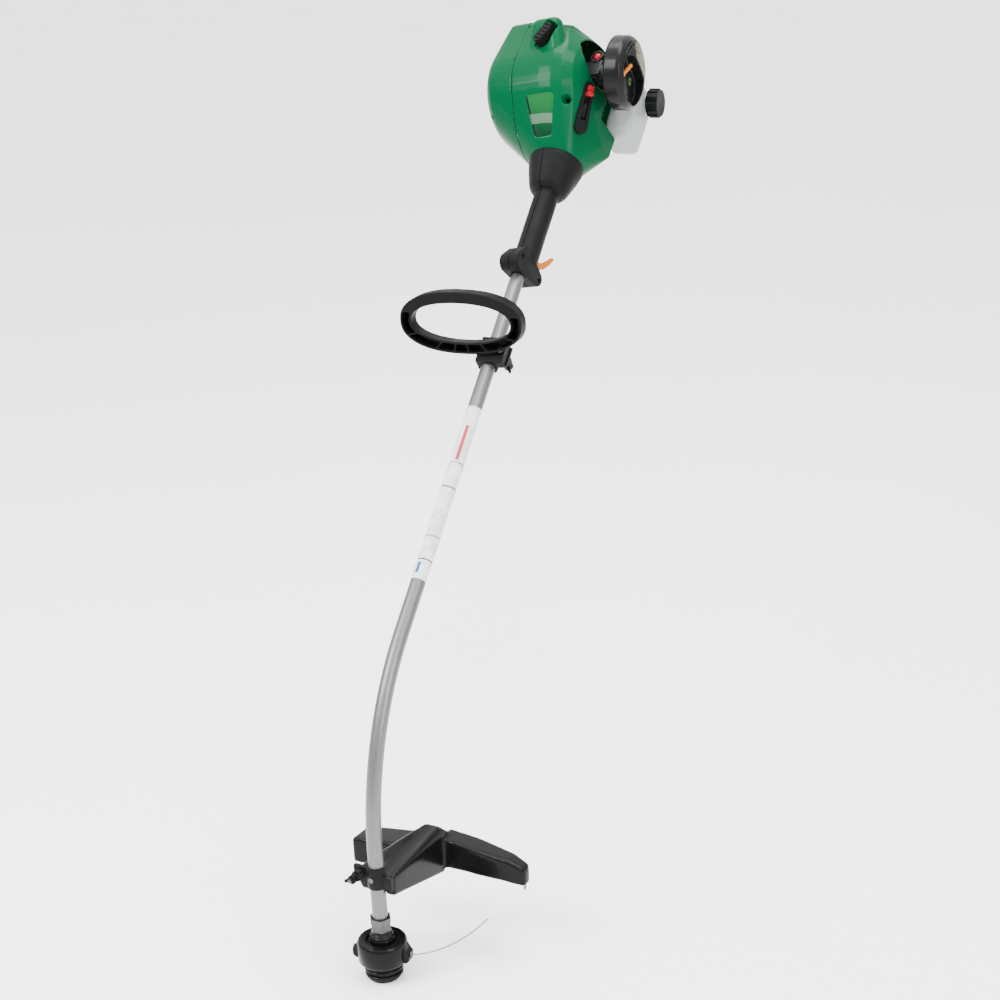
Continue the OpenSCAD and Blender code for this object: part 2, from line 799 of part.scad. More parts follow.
module crankshaft() {
    color(steel) engine() difference() {
        union() {
            translate([0, 0, -8]) cylinder(r = 6, h = 98);
            translate([0, 0, 90]) intersection() {
                cylinder(r = crank_r + 3.4, h = 6);
                translate([-22, -30, -1]) cube([44, 60, 8]);
            }
            translate([0, -crank_r, 95]) cylinder(r = 3.2, h = 4.2);
        }
        translate([-2.1, -2.1, -9]) cube([4.2, 4.2, 14]);
    }
}

module flywheel() {
    color(alloy) engine() difference() {
        union() {
            translate([0, 0, 46]) cylinder(r = 38, h = 4);
            translate([0, 0, 44.6]) cylinder(r = 13, h = 15);
            for (a = [0:30:330]) rotate([0, 0, a]) translate([18, -1.2, 49]) cube([19, 2.4, 9]);
        }
        translate([0, 0, 40]) cylinder(r = 6, h = 30);
    }
}

module connecting_rod() {
    top = -crank_r - rod_len;
    color(alloy) engine() difference() {
        union() {
            translate([0, -crank_r, cyl_z - 4]) cylinder(r = 7.5, h = 8);
            translate([0, top, cyl_z - 4]) cylinder(r = 6.2, h = 8);
            box([-3, top, cyl_z - 3], [3, -crank_r, cyl_z + 3]);
        }
        translate([0, -crank_r, cyl_z - 6]) cylinder(r = 3.5, h = 12);
        translate([0, top, cyl_z - 6]) cylinder(r = 4.05, h = 12);
    }
}

module piston() {
    top = -crank_r - rod_len;
    color(alloy) engine() difference() {
        translate([0, 0, cyl_z]) along_y(bore_d / 2 - 0.03, top - 13, top + 12);
        translate([0, 0, cyl_z]) along_y(bore_d / 2 - 3, top - 9, top + 14);
        translate([0, top, cyl_z - 30]) cylinder(r = 4.0, h = 60);
        for (i = [0, 3]) translate([0, 0, cyl_z]) difference() {
            along_y(bore_d / 2 + 1, top - 10.5 + i, top - 9.3 + i);
            along_y(bore_d / 2 - 1.4, top - 11 + i, top - 9 + i);
        }
    }
}

module wrist_pin() {
    top = -crank_r - rod_len;
    color(steel) engine() translate([0, top, cyl_z - bore_d / 2 + 0.8]) ring(4, 2.2, bore_d - 1.6);
}

module cylinder_barrel() {
    r = bore_d / 2;
    top = -crank_r - rod_len - 14.5;
    color(alloy) engine() difference() {
        union() {
            translate([0, 0, cyl_z]) along_y(r + 4, top - 7, -22);
            for (i = [0:6]) translate([0, 0, cyl_z]) intersection() {
                along_y(34, top - 8 + i * 6.5, top - 5.6 + i * 6.5);
                box([-30, -100, -30], [30, 0, 30]);
            }
            box([-24, -38, cyl_z - 18], [24, -34.1, cyl_z + 18]);
        }
        translate([0, 0, cyl_z]) along_y(r, top, 0);
        translate([0, 0, cyl_z]) along_y(5.05, top - 12, top + 2);
        translate([0, -46, cyl_z]) along_x(6, 10, 40);
        translate([0, -46, cyl_z]) along_x(7, -40, -10);
    }
}

module spark_plug() {
    top = -crank_r - rod_len - 14.5;
    color([0.85, 0.85, 0.84]) engine() translate([0, 0, cyl_z]) {
        along_y(5, top - 8, top - 0.5);
        along_y(8, top - 12, top - 8);
        along_y(4.4, top - 24, top - 12);
    }
}

module plug_boot() {
    top = -crank_r - rod_len - 14.5;
    color(black) engine() translate([0, 0, cyl_z]) difference() {
        union() {
            along_y(7.5, top - 26.5, top - 13);
            translate([0, top - 20, -26]) cylinder(r = 4.2, h = 24);
        }
        along_y(4.42, top - 24, top - 10);
    }
}

module ignition_module() {
    color(black) engine() {
        box([-13, -61, 41], [13, -43, 57]);
        box([-17, -43.4, 45], [-11, -38.6, 53]);
        box([11, -43.4, 45], [17, -38.6, 53]);
        sweep([[0, -60, 50], [0, -67, 54], [0, -75, 61], [0, -84, 69], [0, -88, 73], [0, -89.5, 77]], 2.6, 12, [1, 0, 0]);
    }
}

module muffler() {
    color(steel) engine() difference() {
        union() {
            box([-78, -72, 84], [-42, -22, 128]);
            translate([0, -46, cyl_z]) along_x(9, -42, -30.2);
            translate([-60, -30, 127]) cylinder(r = 6, h = 12);
        }
        box([-76.5, -70.5, 85.5], [-43.5, -23.5, 126.5]);
        translate([0, -46, cyl_z]) along_x(6.5, -44, -20);
        translate([-60, -30, 120]) cylinder(r = 4.5, h = 30);
    }
}

// ---------- intake side ----------

module intake_spacer() {
    color([0.2, 0.16, 0.12]) engine() difference() {
        box([30.1, -62, cyl_z - 12], [46, -30, 146]);
        translate([0, -46, cyl_z]) along_x(6, 20, 41);
        box([36, -51, cyl_z - 5], [41.5, -41, carb_z + 5]);
        translate([0, -46, carb_z]) along_x(6, 38, 60);
    }
}

module carburetor() {
    color(alloy) engine() difference() {
        union() {
            box([46.1, -60, carb_z - 12], [76, -32, carb_z + 16]);
            translate([61, -46, carb_z - 15]) cylinder(r = 9, h = 4);
            translate([64, 0, 158]) along_y(11, -62, -44);
            translate([60, 0, carb_z + 2]) along_y(1.15, -34, -28.8);
            rotate([0, 0, -engine_turn]) translate([0, -61, carb_z + 1]) along_x(12.9, 60, 84.9);
        }
        translate([0, -46, carb_z]) along_x(7, 40, 77);
        rotate([0, 0, -engine_turn]) translate([0, -61, carb_z + 1]) along_x(10.5, 72, 90);
        translate([64, 0, 158]) along_y(8.9, -63, -50);
    }
}

module throttle_lever() {
    color(steel) engine() translate([60, -32, carb_z + 2]) difference() {
        union() {
            along_y(5, 0.3, 2.3);
            box([-2.5, 0.3, -12], [2.5, 2.3, 0]);
        }
        along_y(1.2, -2, 4);
    }
}

module primer_bulb() {
    color(red) engine() translate([64, -56, 158]) rotate([90, 0, 0]) {
        cylinder(r = 8.5, h = 2.5);
        intersection() {
            translate([0, 0, 0.5]) sphere(r = 8);
            cylinder(r = 9, h = 12);
        }
    }
}

module air_frame() {
    level_engine() translate(air_pos) children();
}

module choke_lever() {
    color(orange) air_frame() translate([17, -25, -24]) {
        along_x(4.2, 0, 3);
        along_x(1.55, -5, 1);
        rotate([0, 25, 0]) box([0, -2.6, 0], [3, 2.6, 21]);
    }
}

module air_filter() {
    color([0.25, 0.25, 0.24]) air_frame() ring_x(44, 14, -5, 9);
}

module ring_x(r_out, r_in, x0, x1) {
    translate([x0, 0, 0]) rotate([0, 90, 0]) ring(r_out, r_in, x1 - x0);
}

module air_cover() {
    color(black) air_frame() difference() {
        rotate([0, 90, 0]) rotate_extrude() polygon([[0, -9], [air_r - 3, -9], [air_r, -6], [air_r, 14],
            [air_r - 2, 18.5], [air_r - 7, 23.5], [air_r - 16, 28], [air_r - 28, 31.5], [0, 33]]);
        ring_x(46, 0, -6, 11);
        along_x(13, -12, -5);
        hull() {
            translate([0, -24, -14]) along_x(22, 14, 40);
            translate([0, 0, -24]) along_x(27, 14, 40);
            translate([0, 17, -17]) along_x(27, 14, 40);
        }
        for (r = [44, 49]) intersection() {
            ring_x(r + 2, r, 19, 40);
            box([10, -60, -4], [40, -30, 26]);
        }
        translate([0, 12, 27]) along_x(13, 10, 25);
        translate([0, -25, -24]) along_x(1.6, 0, 20);
    }
}

// ---------- fuel ----------

module fuel_tank() {
    color(tank_white) level_engine() difference() {
        union() {
            tank_form(0);
            translate([0, cap_pos[1], cap_pos[2]]) along_x(17, 92, 112);
        }
        tank_form(2);
        translate([0, cap_pos[1], cap_pos[2]]) along_x(14, 90, 115);
    }
}

// closed rounded box of the tank, inset by w
module tank_form(w) {
    hull() for (y = [32, 66], z = [98, 172]) translate([0, y, z]) {
        along_x(18 - w, 60 + w, 92 - w, $fn = 32);
        along_x(14 - w, 56 + w, 97 - w, $fn = 32);
        along_x(8 - w, 56 + w, 98.5 - w, $fn = 32);
    }
}

module fuel_cap() {
    color(black) level_engine() translate([0, cap_pos[1], cap_pos[2]]) difference() {
        union() {
            along_x(21.5, 104, 124);
            for (a = [15:30:345]) rotate([a, 0, 0]) translate([0, 21.4, 0]) along_x(2.4, 105, 122);
        }
        along_x(17.3, 102, 114);
    }
}

FUEL_OUT = [[63, -45, 126], [63.5, -36, 126], [64, -24, 126], [64, -12, 126], [64, 0, 126], [63, 8, 126],
    [63, 13.9, 126]];
FUEL_BACK = [[63, -45, 146], [64.5, -36, 146.5], [67, -24, 147], [69, -12, 148], [70, 0, 149], [71, 8, 150],
    [71, 13.9, 150]];

module fuel_lines() {
    color([0.75, 0.62, 0.25]) level_engine() {
        sweep(FUEL_OUT, 2.2, 8, [1, 0, 0]);
        sweep(FUEL_BACK, 2.2, 8, [1, 0, 0]);
    }
}

// ---------- starter ----------

module starter_pulley() {
    color(black) engine() difference() {
        union() {
            translate([0, 0, pulley_z - 6]) rotate_extrude() polygon([[0, 0], [pulley_r + 4, 0], [pulley_r + 4, 2],
                [pulley_r, 4], [pulley_r, 8], [pulley_r + 4, 10], [pulley_r + 4, 12], [0, 12]]);
            translate([0, 0, 130]) cylinder(r = 9.9, h = pulley_z - 130);
        }
        translate([0, 0, 128]) cylinder(r = 5.05, h = 80);
    }
}

module recoil_spring() {
    color(steel) engine() translate([0, 0, pulley_z + 7]) linear_extrude(5) difference() {
        circle(r = 26);
        for (i = [1:5]) difference() {
            circle(r = 26 - i * 3.4 + 2.6);
            circle(r = 26 - i * 3.4);
            translate([0, -1]) square([30, 2]);
        }
        circle(r = 8);
    }
}

ROPE = [[-30.2, -2, 164], [-28.5, -14, 164], [-23, -32, 164], [-15, -52, 164], [-7.5, -72, 164],
    [-3, -86, 163.5], [-2, -100, 162], [-2, -114, 161]];

module starter_rope() {
    color([0.85, 0.85, 0.82]) engine() sweep(ROPE, 1.5, 8, [0, 0, 1]);
}

module starter_grip() {
    color(black) engine() translate([-2, -114.4, 161]) rotate([0, 28, 0]) difference() {
        hull() for (z = [-11, 11]) translate([0, 0, z]) along_y(8.5, -17, 0, $fn = 32);
        for (z = [-14:7:14]) box([-12, -19, z - 1], [12, -15.5, z + 1]);
    }
}

// ---------- stop switch ----------

module switch_bezel() {
    color(black) engine() switch_frame() difference() {
        switch_seat(0);
        box([-4.6, -20, -6], [4.6, 34, 8]);
    }
}

module switch_lever() {
    color(red) engine() switch_frame() translate([0, 22, 0]) {
        along_x(3.4, -4.3, 4.3);
        box([-3, -3, 0], [3, 3, 8]);
        translate([0, 0, 9]) along_x(4.4, -4, 4);
        translate([0, 9, 8]) along_x(4, -4, 4);
        box([-3, 0, 6], [3, 9, 10.4]);
    }
}

shaft_tube();
shaft_liner();
flex_shaft();
tube_bushing();
decals();
arbor_hub();
head_housing();
line_eyelets();
spool_spring();
cutting_line();
line_spool();
bump_knob();
debris_shield();
shield_clamp();
shield_screws();
shield_wing_nut();
line_limiter();
loop_handle();
loop_clamp();
loop_bolt();
loop_wing_nut();
handle_left();
handle_right();
handle_screws();
throttle_trigger();
trigger_pin();
trigger_spring();
throttle_cable();
engine_shroud();
side_cover();
rear_cover();
cover_screws();
crankcase();
crank_bearings();
crankshaft();
flywheel();
connecting_rod();
piston();
wrist_pin();
cylinder_barrel();
spark_plug();
plug_boot();
ignition_module();
muffler();
intake_spacer();
carburetor();
throttle_lever();
primer_bulb();
choke_lever();
air_filter();
air_cover();
fuel_tank();
fuel_cap();
fuel_lines();
starter_pulley();
recoil_spring();
starter_rope();
starter_grip();
switch_bezel();
switch_lever();
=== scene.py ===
import json
import math

import bmesh
import bpy
from mathutils import Matrix, Vector


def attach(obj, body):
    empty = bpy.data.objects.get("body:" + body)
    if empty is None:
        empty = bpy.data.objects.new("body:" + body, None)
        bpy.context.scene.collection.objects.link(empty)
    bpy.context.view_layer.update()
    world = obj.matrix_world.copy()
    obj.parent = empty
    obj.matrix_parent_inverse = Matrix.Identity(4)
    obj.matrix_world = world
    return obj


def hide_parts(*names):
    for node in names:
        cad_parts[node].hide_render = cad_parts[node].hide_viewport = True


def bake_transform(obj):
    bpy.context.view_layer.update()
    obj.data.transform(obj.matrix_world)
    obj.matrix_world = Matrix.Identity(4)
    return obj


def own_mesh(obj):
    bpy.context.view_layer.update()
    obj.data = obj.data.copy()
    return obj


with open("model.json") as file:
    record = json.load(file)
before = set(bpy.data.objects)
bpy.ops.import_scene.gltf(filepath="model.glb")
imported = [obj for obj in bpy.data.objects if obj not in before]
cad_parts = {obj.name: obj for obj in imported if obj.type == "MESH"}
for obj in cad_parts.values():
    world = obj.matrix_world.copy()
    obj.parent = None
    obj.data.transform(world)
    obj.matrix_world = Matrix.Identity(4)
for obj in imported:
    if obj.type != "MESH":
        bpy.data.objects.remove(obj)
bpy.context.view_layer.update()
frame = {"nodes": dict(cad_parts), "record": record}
nodes = frame["nodes"]

# ---------- frames shared with the CAD, in metres ----------

# the tube leaves the head straight up, bends once and runs straight to the engine
BEND = math.radians(50)
BEND_RADIUS = 0.357
BEND_START = 0.205
ENGINE_ALONG = 0.849
CURVE_END = Vector((0, BEND_RADIUS * (1 - math.cos(BEND)), BEND_START + BEND_RADIUS * math.sin(BEND)))
ALONG = Vector((0, math.sin(BEND), math.cos(BEND)))
UPRIGHT = Matrix.Rotation(-BEND, 4, "X")
ENGINE_TURN = Matrix.Rotation(math.radians(-12), 4, "Z")


def upper(along):
    """Frame of the straight part, that many metres past the curve's end."""
    return Matrix.Translation(CURVE_END + ALONG * along) @ UPRIGHT


ENGINE = upper(ENGINE_ALONG) @ ENGINE_TURN
AIR = upper(ENGINE_ALONG) @ Matrix.Translation((0.091, -0.061, 0.135))

# ---------- camera ----------

# azimuth from -Y towards +X, elevation above the horizon and roll, in degrees
CAMERA_AT = (1.2605, -2.3197, 1.6364)
CAMERA_AZIMUTH = 24.137
CAMERA_ELEVATION = 19.359
CAMERA_ROLL = -3.105
camera_data = bpy.data.cameras.new("camera")
camera_data.lens = 75.96
camera_data.sensor_width = 36
camera_data.clip_end = 50
camera = bpy.data.objects.new("camera", camera_data)
bpy.context.scene.collection.objects.link(camera)
camera.matrix_world = (Matrix.Translation(CAMERA_AT) @ Matrix.Rotation(math.radians(CAMERA_AZIMUTH), 4, "Z")
                       @ Matrix.Rotation(math.radians(90 - CAMERA_ELEVATION), 4, "X")
                       @ Matrix.Rotation(math.radians(CAMERA_ROLL), 4, "Z"))
bpy.context.scene.camera = camera

# ---------- helpers ----------


def link(ob):
    """Puts an object in the scene."""
    bpy.context.scene.collection.objects.link(ob)
    return ob


def piece(name, mesh, body, mat):
    """Adds a mesh as a smooth piece that rides on a body."""
    ob = link(bpy.data.objects.new(name, mesh))
    mesh.materials.clear()
    mesh.materials.append(mat)
    for p in mesh.polygons:
        p.use_smooth = True
    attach(ob, body)
    return ob


# the colour sockets of a Mix node, whose names it shares with its other kinds
MIX_A, MIX_B, MIX_COLOUR = 6, 7, 2


class Net:
    """Short names for building a node material."""

    def __init__(self, name):
        self.mat = bpy.data.materials.new(name)
        self.mat.use_nodes = True
        self.tree = self.mat.node_tree
        self.bsdf = self.tree.nodes["Principled BSDF"]
        self.where = self.add("TexCoord").outputs["Object"]

    def add(self, kind):
        """A new shader node of that kind."""
        return self.tree.nodes.new("ShaderNode" + kind)

    def wire(self, a, b):
        self.tree.links.new(a, b)

    def feed(self, value, socket):
        """Wires a value to a socket, or sets it there if it is a number or a colour."""
        if isinstance(value, (int, float)):
            socket.default_value = value
        elif isinstance(value, tuple):
            socket.default_value = (*value, 1)
        else:
            self.wire(value, socket)

    def stretched(self, scale):
        """Object coordinates with a scale along each axis, for grain that has a direction."""
        k = self.add("Mapping")
        k.inputs["Scale"].default_value = scale
        self.wire(self.where, k.inputs["Vector"])
        return k.outputs[0]

    def noise(self, scale, detail=3.0, rough=0.5, vector=None):
        k = self.add("TexNoise")
        k.inputs["Scale"].default_value = scale
        k.inputs["Detail"].default_value = detail
        k.inputs["Roughness"].default_value = rough
        self.wire(vector or self.where, k.inputs["Vector"])
        return k.outputs["Fac"]

    def ramp(self, fac, *stops):
        """A colour ramp, with each stop as a position and a colour."""
        k = self.add("ValToRGB")
        while len(k.color_ramp.elements) < len(stops):
            k.color_ramp.elements.new(0.5)
        for e, (position, colour) in zip(k.color_ramp.elements, stops):
            e.position = position
            e.color = (*colour, 1)
        self.wire(fac, k.inputs["Fac"])
        return k.outputs["Color"]

    def math(self, op, *values):
        k = self.add("Math")
        k.operation = op
        for value, socket in zip(values, k.inputs):
            self.feed(value, socket)
        return k.outputs[0]

    def add_up(self, a, b):
        return self.math("ADD", a, b)

    def times(self, first, *others):
        """The product of all the values. Of 0 and 1 masks, it is where all of them hold."""
        for other in others:
            first = self.math("MULTIPLY", first, other)
        return first

    def off(self, value, centre):
        """How far a value is from a centre, either way."""
        return self.math("ABSOLUTE", self.math("SUBTRACT", value, centre))

    def below(self, value, limit):
        return self.math("LESS_THAN", value, limit)

    def above(self, value, limit):
        return self.math("GREATER_THAN", value, limit)

    def span(self, value, low, high, to_low, to_high):
        """Smoothly takes the values from low to high to those from to_low to to_high."""
        k = self.add("MapRange")
        k.interpolation_type = "SMOOTHSTEP"
        for setting, socket in zip((low, high, to_low, to_high), k.inputs[1:]):
            socket.default_value = setting
        self.wire(value, k.inputs[0])
        return k.outputs[0]

    def mix(self, fac, a, b):
        """Colour a where fac is 0, and b where it is 1."""
        k = self.add("Mix")
        k.data_type = "RGBA"
        self.feed(fac, k.inputs[0])
        self.feed(a, k.inputs[MIX_A])
        self.feed(b, k.inputs[MIX_B])
        return k.outputs[MIX_COLOUR]

    def local(self, matrix):
        """x, y and z of a point in a CAD frame, as three values."""
        inv = matrix.inverted()
        out = []
        for row in range(3):
            k = self.add("VectorMath")
            k.operation = "DOT_PRODUCT"
            self.wire(self.where, k.inputs[0])
            k.inputs[1].default_value = inv[row][:3]
            out.append(self.add_up(k.outputs["Value"], inv[row][3]))
        return out

    def bump(self, height, strength, distance):
        k = self.add("Bump")
        k.inputs["Strength"].default_value = strength
        k.inputs["Distance"].default_value = distance
        self.wire(height, k.inputs["Height"])
        self.wire(k.outputs[0], self.bsdf.inputs["Normal"])

    def color(self, out):
        self.wire(out, self.bsdf.inputs["Base Color"])

    def rough(self, out):
        self.wire(out, self.bsdf.inputs["Roughness"])

    def put(self, **values):
        """Sets inputs of the shader, named with _ for a space."""
        for name, value in values.items():
            self.bsdf.inputs[name.replace("_", " ")].default_value = value


def tint(colour, factor):
    return tuple(min(1.0, x * factor) for x in colour)


def mottle(net, pattern, base, spread):
    """The base colour, darker and lighter by spread where the pattern is low and high."""
    net.color(net.ramp(pattern, (0.3, tint(base, 1 - spread)), (0.7, tint(base, 1 + spread))))


def plastic(name, base, rough, grain=0.0, grain_scale=1800, coat=0.0, spread=0.12, shine=0.06):
    """Moulded plastic: faint flow marks, a varying gloss and an optional fine grain."""
    net = Net(name)
    mottle(net, net.noise(9, 4), base, spread)
    net.rough(net.span(net.noise(26, 5), 0.3, 0.7, rough * 0.82, rough * 1.2))
    if grain:
        net.bump(net.noise(grain_scale, 2), grain, 0.0004)
    else:
        net.bump(net.noise(38, 2), 0.03, 0.002)
    net.put(Specular_IOR_Level=shine, Coat_Weight=coat, Coat_Roughness=0.06)
    return net


def metal(name, base, rough, scale=220, spread=0.12):
    """Cast or turned metal with a fine mottle in colour and gloss."""
    net = Net(name)
    net.put(Metallic=1.0)
    fine = net.noise(scale, 4, 0.6)
    mottle(net, fine, base, spread)
    net.rough(net.span(fine, 0.3, 0.7, rough * 0.8, rough * 1.25))
    net.bump(fine, 0.12, 0.0004)
    return net


BLACK = (0.0030, 0.0032, 0.0033)
GREEN = (0.0, 0.050, 0.018)

mats = {
    "steel": metal("steel", (0.13, 0.133, 0.137), 0.34),
    "zinc": metal("zinc", (0.085, 0.088, 0.086), 0.42, 160, spread=0.3),
    "alloy": metal("alloy", (0.085, 0.088, 0.092), 0.44, 700),
    # painted shade: a darker metal for the castings inside the engine, so they look dark within the covers
    "dark_alloy": metal("dark_alloy", (0.022, 0.023, 0.024), 0.5, 500, spread=0.4),
    "brass": metal("brass", (0.35, 0.26, 0.12), 0.3),
    "gloss_black": plastic("gloss_black", BLACK, 0.22, coat=0.07),
    "matte_black": plastic("matte_black", (0.0038, 0.0041, 0.0042), 0.5, grain=0.35),
    "dark_grey": plastic("dark_grey", (0.006, 0.0065, 0.0065), 0.42, grain=0.25),
    "gloss_green": plastic("gloss_green", GREEN, 0.2, coat=0.04, spread=0.05, shine=0.04),
    "orange": plastic("orange", (0.36, 0.10, 0.0), 0.28, coat=0.05),
    "red": plastic("red", (0.20, 0.004, 0.008), 0.26, coat=0.1),
    "red_rubber": plastic("red_rubber", (0.17, 0.003, 0.008), 0.2, coat=0.25),
    "liner": plastic("liner", (0.012, 0.012, 0.012), 0.4),
    "foam": plastic("foam", (0.012, 0.012, 0.0115), 0.9, grain=1.0, grain_scale=700),
    "fuel_hose": plastic("fuel_hose", (0.2, 0.14, 0.04), 0.3),
    "gasket": plastic("gasket", (0.03, 0.02, 0.015), 0.6, grain=0.3),
    "ceramic": plastic("ceramic", (0.5, 0.5, 0.49), 0.15, coat=0.3),
}


def tube_metal():
    """Drawn aluminium with its grain along the tube."""
    net = Net("satin_tube")
    fine = net.noise(24, 5, 0.55, net.stretched((30, 30, 1.5)))
    net.color(net.ramp(fine, (0.25, (0.105, 0.108, 0.112)), (0.75, (0.15, 0.154, 0.158))))
    net.rough(net.span(fine, 0.3, 0.7, 0.33, 0.43))
    net.bump(fine, 0.05, 0.0004)
    net.put(Metallic=0.85)
    return net


def tank_plastic():
    """Milky plastic that lets some light through."""
    net = Net("tank_white")
    haze = net.noise(30, 4)
    net.color(net.ramp(haze, (0.3, (0.20, 0.225, 0.215)), (0.7, (0.25, 0.275, 0.265))))
    net.rough(net.span(haze, 0.3, 0.7, 0.3, 0.44))
    net.bump(net.noise(60, 3), 0.05, 0.001)
    net.put(Subsurface_Weight=0.35, Subsurface_Scale=0.02, Subsurface_Radius=(0.6, 0.7, 0.7))
    return net


def braided_rope():
    net = Net("rope")
    net.color(net.ramp(net.noise(900, 2), (0.3, (0.13, 0.13, 0.12)), (0.7, (0.27, 0.27, 0.25))))
    net.put(Roughness=0.85)
    net.bump(net.noise(1200, 2), 0.8, 0.0006)
    return net


def nylon():
    net = Net("line_nylon")
    net.color(net.ramp(net.noise(220, 2), (0.3, (0.07, 0.11, 0.14)), (0.7, (0.13, 0.18, 0.22))))
    net.put(Roughness=0.24, Coat_Weight=0.3, Coat_Roughness=0.1)
    net.bump(net.noise(300, 2), 0.1, 0.0004)
    return net


PRINT_GREY = (0.6, 0.61, 0.62)
PRINT_BLACK = (0.008, 0.008, 0.01)
# bands round the film: where they start and end along the tube, their colour,
# and the middle of the band where it is a narrow mark instead of a whole ring
BANDS = (
    (0.085, 0.094, PRINT_GREY, None),
    (0.094, 0.112, (0.035, 0.085, 0.22), -0.002),
    (0.116, 0.118, PRINT_BLACK, None),
    (0.155, 0.1565, PRINT_BLACK, None),
    (0.215, 0.222, PRINT_GREY, None),
    (0.238, 0.240, PRINT_BLACK, None),
    (0.280, 0.2815, (0.05, 0.05, 0.055), None),
    (0.285, 0.345, (0.36, 0.03, 0.05), 0.003),
    (0.345, 0.362, PRINT_GREY, None),
)
# past this place along the tube the film is the label on the engine's nose
NOSE_START = 0.7


def shaft_film(net, x, z, patch):
    """White film with a soft grey pattern, dark dividers and coloured bands."""
    slant = net.math("SINE", net.times(net.add_up(z, net.times(x, 0.7)), 2200))
    printed = net.times(net.span(slant, -0.2, 0.5, 0.0, 1.0), net.span(patch, 0.44, 0.52, 0.15, 1.0))
    film = net.mix(printed, (0.66, 0.67, 0.68), (0.30, 0.32, 0.34))
    for start, end, colour, middle in BANDS:
        inside = net.times(net.above(z, start), net.below(z, end))
        if middle is not None:
            inside = net.times(inside, net.span(net.off(x, middle), 0.0022, 0.0028, 1.0, 0.0))
        film = net.mix(inside, film, colour)
    return film


def nose_film(net):
    """Green face that brightens upwards, with a slanted black border and a pale stripe."""
    x, _, z = net.local(ENGINE)
    face = net.mix(net.span(z, 0.012, 0.062, 0.0, 1.0), (0.0, 0.02, 0.007), (0.004, 0.075, 0.018))
    border = net.below(net.add_up(x, net.times(z, 0.2075)), -0.0088)
    face = net.mix(border, face, (0.004, 0.0045, 0.0045))
    stripe = net.below(net.off(z, 0.036), 0.006)
    return net.mix(net.times(stripe, 0.25), face, (0.20, 0.26, 0.22))


def decal_film():
    """The film on the shaft and the label on the nose, which are one CAD node."""
    net = Net("label")
    x, _, z = net.local(upper(0))
    patch = net.noise(55, 5, 0.7)
    net.color(net.mix(net.above(z, NOSE_START), shaft_film(net, x, z, patch), nose_film(net)))
    net.rough(net.span(patch, 0.3, 0.7, 0.26, 0.38))
    net.bump(patch, 0.03, 0.0005)
    net.put(Specular_IOR_Level=0.06)
    return net


def air_cover_plastic():
    """Black cover with a mottled beige and olive field on the upper right of its face."""
    net = Net("air_cover_black")
    x, y, z = net.local(AIR)

    def reach(centre_y, centre_z, weight=1.0):
        """Distance from a point of the face, with z counted by a weight."""
        dy = net.math("SUBTRACT", y, centre_y)
        dz = net.math("SUBTRACT", z, centre_z)
        return net.math("SQRT", net.add_up(net.times(dy, dy), net.times(dz, dz, weight)))

    camouflage = net.ramp(net.noise(210, 6, 0.8), (0.38, (0.008, 0.008, 0.005)), (0.46, (0.05, 0.045, 0.022)),
                          (0.53, (0.115, 0.105, 0.06)), (0.64, (0.19, 0.175, 0.12)))
    field = net.times(net.span(reach(0.006, 0.027, 2.2), 0.0385, 0.0395, 1.0, 0.0),
                      net.span(reach(0, 0), 0.0485, 0.0493, 1.0, 0.0),
                      net.span(z, 0.0115, 0.0123, 0.0, 1.0),
                      net.above(x, 0.0225))
    black = net.ramp(net.noise(12, 3), (0.3, tint(BLACK, 0.9)), (0.7, tint(BLACK, 1.15)))
    # a plain green ring on the floor of the pocket
    ring = net.times(net.below(net.off(reach(0.015, -0.005), 0.0048), 0.0009), net.below(x, 0.0146))
    net.color(net.mix(ring, net.mix(field, black, camouflage), (0.09, 0.2, 0.05)))
    net.rough(net.span(net.noise(40, 4), 0.3, 0.7, 0.24, 0.36))
    net.put(Specular_IOR_Level=0.08, Coat_Weight=0.08, Coat_Roughness=0.08)
    net.bump(net.noise(900, 2), 0.12, 0.0004)
    return net


mats["satin_tube"] = tube_metal()
mats["tank_white"] = tank_plastic()
mats["rope"] = braided_rope()
mats["line_nylon"] = nylon()
mats["label"] = decal_film()
mats["air_cover"] = air_cover_plastic()
slot_of = {s["node"]: s["material_slot"] for s in frame["record"]["subparts"]}
body_of_node = {n: b for b, group in frame["record"]["behaviour"]["bodies"].items() for n in group}

# castings inside the engine, given a darker metal than their slot as painted shade, so that they look dark
# within the covers
PAINTED_SHADE_CASTINGS = ("carburetor", "crankcase", "cylinder_barrel", "intake_spacer", "muffler", "throttle_lever")


def finish_for(name):
    """The material of a CAD node."""
    if name == "air_cover":
        return mats["air_cover"].mat
    # castings inside the engine get the darker metal as painted shade
    if name in PAINTED_SHADE_CASTINGS:
        return mats["dark_alloy"].mat
    return mats[slot_of[name]].mat


for name, ob in nodes.items():
    for material_slot in ob.material_slots:
        material_slot.link = "OBJECT"
        material_slot.material = finish_for(name)

# ---------- the cutting line ----------

# from the outlet to the cut end, in millimetres
LINE = [(43.5, 3.8, 40), (50, 6, 40), (57, 10.5, 40), (63.5, 15.5, 40), (69.5, 21, 40), (75, 27.5, 40),
        (80, 34.5, 40), (84.5, 42, 40), (88.5, 50, 40), (92, 58, 40), (95, 66.5, 40), (98, 75, 40),
        (100.5, 83.5, 40), (102.5, 92, 40), (104.5, 101, 40), (106, 110, 40), (107.5, 119, 40), (108.5, 128, 40)]
LINE_DIAMETER = 0.002
line_points = [Vector(p) / 1000 for p in LINE]
line_data = bpy.data.curves.new("free_line", "CURVE")
line_data.dimensions = "3D"
line_data.bevel_depth = LINE_DIAMETER / 2
line_data.bevel_resolution = 4
line_data.use_fill_caps = True
spline = line_data.splines.new("POLY")
spline.points.add(len(line_points) - 1)
for point, co in zip(spline.points, line_points):
    point.co = (*co, 1)
line_data.materials.append(mats["line_nylon"].mat)
free_line = link(bpy.data.objects.new("free_line", line_data))
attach(free_line, "head")
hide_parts("cutting_line")

# ---------- moulded pieces with softened edges ----------

